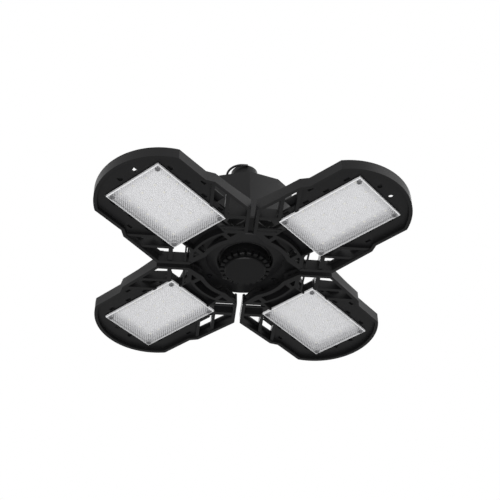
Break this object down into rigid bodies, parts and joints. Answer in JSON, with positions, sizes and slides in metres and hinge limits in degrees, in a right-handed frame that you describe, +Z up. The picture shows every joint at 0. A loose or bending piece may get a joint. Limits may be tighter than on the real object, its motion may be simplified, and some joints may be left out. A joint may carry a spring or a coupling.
{
  "type": "foldable solar led light",
  "caption": "Hanging solar lamp: open ribbed leaves with flat lens plates fold up on hinges round an upright battery hub with a twist cap and a wire loop.",
  "frame": {"origin": "middle of the neck's top face, where the hanging loop lies", "axes": "+Z up along the hub's axis; the leaves lie along +X, +Y, -X and -Y; the lenses face -Z"},
  "size_m": [0.331, 0.331, 0.1214],
  "materials": {
    "black_plastic": "fine moulded grain, satin",
    "inner_plastic": "satin",
    "clear_lens": "clear, with fine prism ribs",
    "white_board": "solder mask",
    "solar_cell": "glossy",
    "steel": "bright zinc",
    "rubber": "matte",
    "brass": "stamped",
    "cell_wrap": "shrink film",
    "green_board": "solder mask"
  },
  "bodies": {
    "hub": {"hub_housing": "black_plastic", "hub_base": "black_plastic", "base_screws": "steel", "collar_ring": "black_plastic", "neck": "black_plastic", "battery_tray": "inner_plastic", "battery_cells": "cell_wrap", "control_board": "green_board", "board_screws": "steel"},
    "loop": {"hanging_loop": "steel"},
    "cap": {"battery_cap": "black_plastic", "cap_seal": "rubber", "cap_contact": "brass"},
    "button": {"switch_button": "inner_plastic"},
    "leaf_1": {"leaf_frame_1": "black_plastic", "lens_1": "clear_lens", "led_board_1": "white_board", "solar_panel_1": "solar_cell", "lens_screws_1": "steel", "hinge_pin_1": "steel"},
    "leaf_2": {"leaf_frame_2": "black_plastic", "lens_2": "clear_lens", "led_board_2": "white_board", "solar_panel_2": "solar_cell", "lens_screws_2": "steel", "hinge_pin_2": "steel"},
    "leaf_3": {"leaf_frame_3": "black_plastic", "lens_3": "clear_lens", "led_board_3": "white_board", "solar_panel_3": "solar_cell", "lens_screws_3": "steel", "hinge_pin_3": "steel"},
    "leaf_4": {"leaf_frame_4": "black_plastic", "lens_4": "clear_lens", "led_board_4": "white_board", "solar_panel_4": "solar_cell", "lens_screws_4": "steel", "hinge_pin_4": "steel"}
  },
  "joints": [
    {"name": "leaf_hinge_1", "type": "hinge", "parent": "hub", "child": "leaf_1", "pos_m": [0.0517, 0, -0.104], "axis": [0, -1, 0], "range_deg": [0, 90]},
    {"name": "leaf_hinge_2", "type": "hinge", "parent": "hub", "child": "leaf_2", "pos_m": [0, 0.0517, -0.104], "axis": [1, 0, 0], "range_deg": [0, 90]},
    {"name": "leaf_hinge_3", "type": "hinge", "parent": "hub", "child": "leaf_3", "pos_m": [-0.0517, 0, -0.104], "axis": [0, 1, 0], "range_deg": [0, 90]},
    {"name": "leaf_hinge_4", "type": "hinge", "parent": "hub", "child": "leaf_4", "pos_m": [0, -0.0517, -0.104], "axis": [-1, 0, 0], "range_deg": [0, 90]},
    {"name": "loop_pivot", "type": "hinge", "parent": "hub", "child": "loop", "pos_m": [0.00085, 0.00085, -0.0028], "axis": [-0.7071, 0.7071, 0], "range_deg": [-28, 208]},
    {"name": "cap_turn", "type": "hinge", "parent": "hub", "child": "cap", "pos_m": [0, 0, -0.119], "axis": [0, 0, 1], "range_deg": [0, 45]},
    {"name": "button_press", "type": "slide", "parent": "hub", "child": "button", "axis": [0, 0, -1], "range_m": [0, 0.0012], "stiffness_N_per_m": 400, "springref_m": -0.001}
  ]
}
